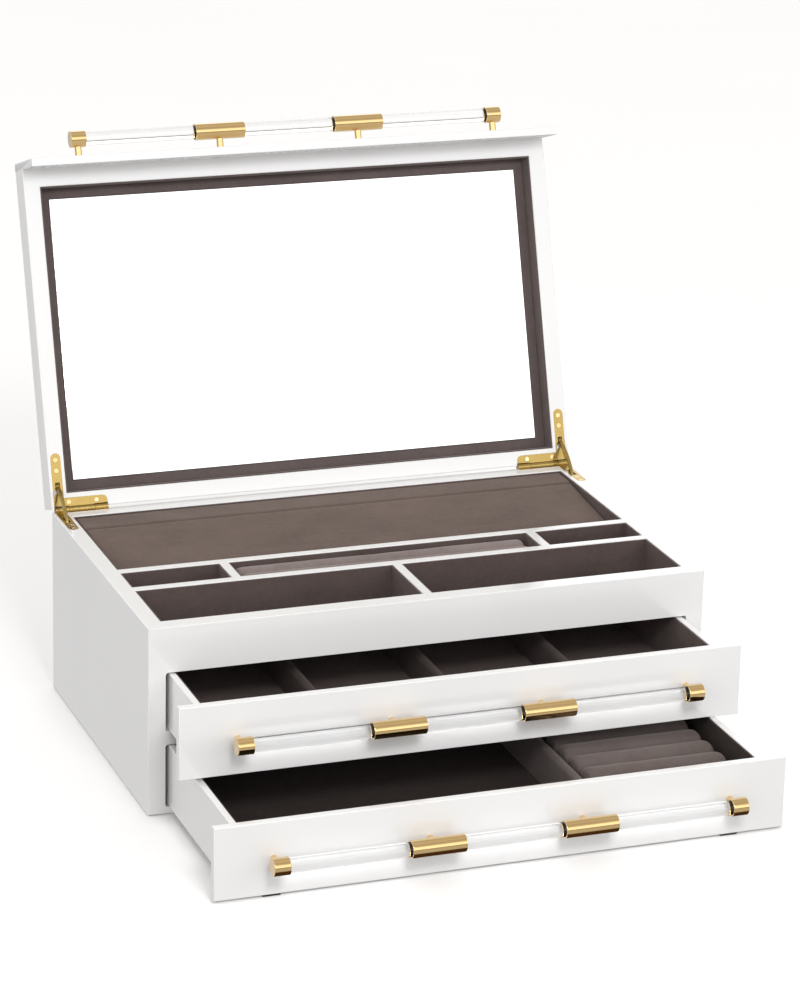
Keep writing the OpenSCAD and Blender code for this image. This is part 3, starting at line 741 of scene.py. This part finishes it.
def screw_set(name, body, replaced, spots, down, shut):
    """Hinge screws: each with its cross-recessed head and a tapering threaded shank."""
    flip = Matrix.Rotation(math.pi, 4, "X") if down else Matrix.Identity(4)
    bm = bmesh.new()
    for k, spot in enumerate(spots):
        head = screw_head(0.4 + 0.9 * k)
        for me in (head.data, screw_shank()):
            me.transform(Matrix.Translation(spot) @ flip)
            bm.from_mesh(me)
        bpy.data.objects.remove(head)
    me = bpy.data.meshes.new(name)
    bm.to_mesh(me)
    bm.free()
    o = link(name, me)
    smooth(o, 35, False)
    dress(o, BRASS)
    place(o, body, replaced, shut)


LID_BOTTOM = 134.2 * MM
RIM = 134.0 * MM
# Where the hinge screws are: how far out to each side, and how far in front of the hinge axis
LID_SCREWS = [(194.2, 36.2), (194.2, 28.5), (166.5, 5.6), (187.0, 5.6)]
CASE_SCREWS = [(194.2, 37.4), (194.2, 30.4)]


def screw_spots(places, z):
    return [(s * out * MM, AXIS.y - ahead * MM, z) for s in (-1, 1) for out, ahead in places]


lid_spots = screw_spots(LID_SCREWS, LID_BOTTOM)
case_spots = screw_spots(CASE_SCREWS, RIM)
screw_set("lid_screws_detailed", "lid", ("lid_hinge_screws",), lid_spots, True, True)
screw_set("case_screws_detailed", "case", ("case_hinge_screws",), case_spots, False, False)


def brass_piece(name, body, mat, width, least, segments=2, shut=False):
    softened(name, body, mat, width, least, segments, shut, 60)


for side in ("left", "right"):
    brass_piece("lid_hinge_leaf_" + side, "lid", BRASS_HINGE, 0.18, 1.2 * MM, shut=True)
    brass_piece("case_hinge_leaf_" + side, "case", BRASS_HINGE, 0.18, 1.2 * MM)
    brass_piece("stay_" + side, "stay_" + side, BRASS_HINGE, 0.2, 0.3 * MM)

HANDLES = (("lid", "lid"), ("upper", "upper_drawer"), ("lower", "lower_drawer"))
for which, body in HANDLES:
    brass_piece(which + "_handle_sleeves", body, BRASS, 0.3, 0.1 * MM, shut=body == "lid")
    brass_piece(which + "_handle_caps", body, BRASS, 0.35, 0.1 * MM, 3, shut=body == "lid")


# ---------------------------------------------------------------- clear rods

def clear_rod(name, body):
    """A rod along X as a finely divided cylinder, so that light bends through it smoothly."""
    lo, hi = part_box(name)
    bm = bmesh.new()
    r = (hi.z - lo.z) / 2 - 0.02 * MM
    bmesh.ops.create_cone(bm, cap_ends=True, segments=128, radius1=r, radius2=r, depth=hi.x - lo.x)
    along_x = Matrix.Translation((lo + hi) / 2) @ Matrix.Rotation(math.pi / 2, 4, "Y")
    bmesh.ops.transform(bm, matrix=along_x, verts=bm.verts)
    me = bpy.data.meshes.new(name + "_clear")
    bm.to_mesh(me)
    bm.free()
    o = link(name + "_clear", me)
    smooth(o, 38, False)
    dress(o, ACRYLIC)
    place(o, body, (name,))
    o.visible_shadow = False


for which, body in HANDLES:
    clear_rod(which + "_handle_rod", body)


# ---------------------------------------------------------------- CAD nodes that stay

def keep(name, mat):
    """Leaves a CAD node as it is, with this material."""
    mesh = nodes[name].data
    mesh.materials.clear()
    mesh.materials.append(mat)


for n in ("bottom_panel", "drawer_shelf", "tray_floor"):
    keep(n, WHITE)
keep("base_felt", FELT)
keep("lower_glide_pads", FELT)
keep("drawer_stops", WOOD)
keep("hinge_pins", BRASS_HINGE)
for which in ("upper", "lower"):
    keep(which + "_box_bottom", BOARD)
for which, body in HANDLES:
    keep(which + "_handle_posts", BRASS)
    keep(which + "_handle_screws", STEEL)


# ---------------------------------------------------------------- floor, light and camera

def floor():
    """A plain pale floor that only the camera sees, as the sky below the horizon lights the chest."""
    me = bpy.data.meshes.new("floor")
    reach = 14.0
    corners = [(x * reach, y * reach, 0) for x, y in ((-1, -1), (1, -1), (1, 1), (-1, 1))]
    me.from_pydata(corners, [], [(0, 1, 2, 3)])
    o = link("floor", me)
    m, nt, bsdf = material("floor")
    co = node(nt, "ShaderNodeTexCoord").outputs["Object"]
    pale = mix(nt, noise_tex(nt, co, 3, 2), (0.965, 0.965, 0.965), (0.985, 0.985, 0.985))
    nt.links.new(pale, bsdf.inputs["Base Color"])
    bsdf.inputs["Roughness"].default_value = 0.9
    bsdf.inputs["Specular IOR Level"].default_value = 0.1
    me.materials.append(m)
    o.visible_glossy = False
    o.visible_diffuse = False
    o.visible_shadow = False


floor()

# Height in the sky, from -1 straight down to 1 straight up, and the colour there
SKY = [
    (-0.74, (0.07, 0.035, 0.018)),
    (-0.60, (0.60, 0.60, 0.60)),
    (-0.04, (0.63, 0.63, 0.64)),
    (0.01, (0.38, 0.33, 0.28)),
    (0.08, (0.40, 0.36, 0.32)),
    (0.16, (1.68, 1.69, 1.72)),
    (0.50, (1.62, 1.62, 1.63)),
    (0.68, (0.72, 0.70, 0.67)),
    (0.82, (0.58, 0.56, 0.53)),
    (1.00, (0.76, 0.73, 0.69)),
]


def studio():
    """The room around the chest, as a sky banded by height."""
    world = bpy.data.worlds.new("studio")
    scene.world = world
    world.use_nodes = True
    nt = world.node_tree
    bg = nt.nodes["Background"]
    direction = node(nt, "ShaderNodeSeparateXYZ")
    nt.links.new(node(nt, "ShaderNodeTexCoord").outputs["Generated"], direction.inputs[0])
    bands = node(nt, "ShaderNodeValToRGB")
    bands.color_ramp.interpolation = "EASE"
    stops = bands.color_ramp.elements
    for k, (height, colour) in enumerate(SKY):
        stop = stops[k] if k < 2 else stops.new(0.5 + height / 2)
        stop.position = 0.5 + height / 2
        stop.color = (*colour, 1)
    nt.links.new(ramp(nt, direction.outputs["Z"], -1, 1), bands.inputs["Fac"])
    nt.links.new(bands.outputs["Color"], bg.inputs["Color"])
    bg.inputs["Strength"].default_value = 1.0


studio()


def key_light():
    """One soft light in front and a little to the left, aimed at the drawers."""
    azimuth, elevation, distance = math.radians(-7), math.radians(40), 2.1
    target = Vector((0.0, -0.1, 0.1))
    flat = math.cos(elevation)
    away = Vector((math.sin(azimuth) * flat, -math.cos(azimuth) * flat, math.sin(elevation)))
    lamp = bpy.data.lights.new("key", "AREA")
    lamp.shape = "RECTANGLE"
    lamp.size, lamp.size_y = 0.5, 0.4
    lamp.energy = 14.5
    lamp.color = (0.985, 0.993, 1.0)
    o = bpy.data.objects.new("key", lamp)
    o.location = target + away * distance
    o.rotation_euler = (-away).to_track_quat("-Z", "Y").to_euler()
    scene.collection.objects.link(o)


key_light()


def camera():
    """A long lens, in front of the chest, above it and to its left."""
    yaw, pitch_down, tilt = math.radians(20.686), math.radians(18.920), math.radians(1.4825)
    ahead = Vector((math.sin(yaw), math.cos(yaw), 0)) * math.cos(pitch_down)
    ahead.z = -math.sin(pitch_down)
    level = Vector((math.cos(yaw), -math.sin(yaw), 0))
    over = level.cross(ahead)
    right = level * math.cos(tilt) + over * math.sin(tilt)
    up = over * math.cos(tilt) - level * math.sin(tilt)
    turned = Matrix((right, up, -ahead)).transposed()
    data = bpy.data.cameras.new("camera")
    data.sensor_width = 36
    data.lens = 3.6259 * data.sensor_width
    data.clip_start, data.clip_end = 0.05, 60
    o = bpy.data.objects.new("camera", data)
    scene.collection.objects.link(o)
    o.matrix_world = Matrix.Translation(Vector((-0.8310, -2.2521, 0.9877))) @ turned.to_4x4()
    scene.camera = o


camera()

scene.view_settings.view_transform = "Standard"
scene.view_settings.look = "None"
scene.view_settings.exposure = 0.0
